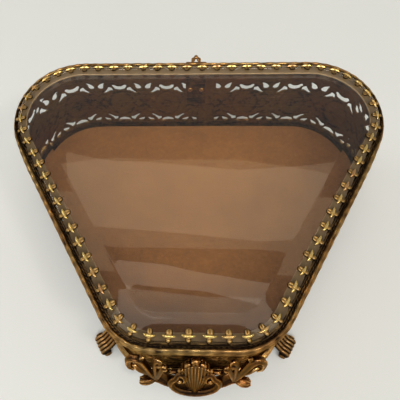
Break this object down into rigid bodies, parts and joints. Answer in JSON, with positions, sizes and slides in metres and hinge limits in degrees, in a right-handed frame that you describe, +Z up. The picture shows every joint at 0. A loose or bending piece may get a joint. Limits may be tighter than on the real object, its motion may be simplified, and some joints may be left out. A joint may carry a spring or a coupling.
{
  "type": "trinket box",
  "caption": "Low gilt casket with a rounded-triangle plan, pierced side wall, scrolled feet, cast front ornament and a hinged lid of bevelled glass.",
  "frame": {"origin": "centre of the box's footprint, on the plane that the feet stand on", "axes": "+Z up, +Y towards the hinge at the long back side, +X to the right seen from the front"},
  "size_m": [0.1602, 0.1379, 0.054],
  "materials": {
    "antique_gilt": "antiqued gilt over brass, brown in the hollows",
    "dark_gilt": "dark patinated stamped brass",
    "bright_gilt": "bright rubbed gilt",
    "copper_gilt": "copper-toned gilt casting",
    "plate_glass": "polished, ground bevel",
    "velvet": "short-pile tan velvet",
    "lining_card": "plain card"
  },
  "bodies": {
    "body": {"foot_front_right": "antique_gilt", "foot_rivet_front_right": "bright_gilt", "foot_back_right": "antique_gilt", "foot_rivet_back_right": "bright_gilt", "foot_front_left": "antique_gilt", "foot_rivet_front_left": "bright_gilt", "foot_back_left": "antique_gilt", "foot_rivet_back_left": "bright_gilt", "base_plate": "dark_gilt", "base_moulding": "antique_gilt", "lining_board": "lining_card", "floor_pad": "velvet", "wall_band": "dark_gilt", "body_rim": "antique_gilt", "hinge_backing_plate": "dark_gilt", "body_hinge_leaf": "copper_gilt", "body_hinge_rivet_right": "bright_gilt", "body_hinge_rivet_left": "bright_gilt", "hinge_pin": "dark_gilt", "front_cartouche": "copper_gilt", "corner_mount_right": "copper_gilt", "corner_mount_left": "copper_gilt"},
    "lid": {"lid_frame": "antique_gilt", "glass_plate": "plate_glass", "gallery_strip": "bright_gilt", "lid_hinge_leaf": "copper_gilt"}
  },
  "joints": [
    {"name": "lid_hinge", "type": "hinge", "parent": "body", "child": "lid", "pos_m": [0, 0.0626, 0.04745], "axis": [-1, 0, 0], "range_deg": [0, 110]}
  ]
}
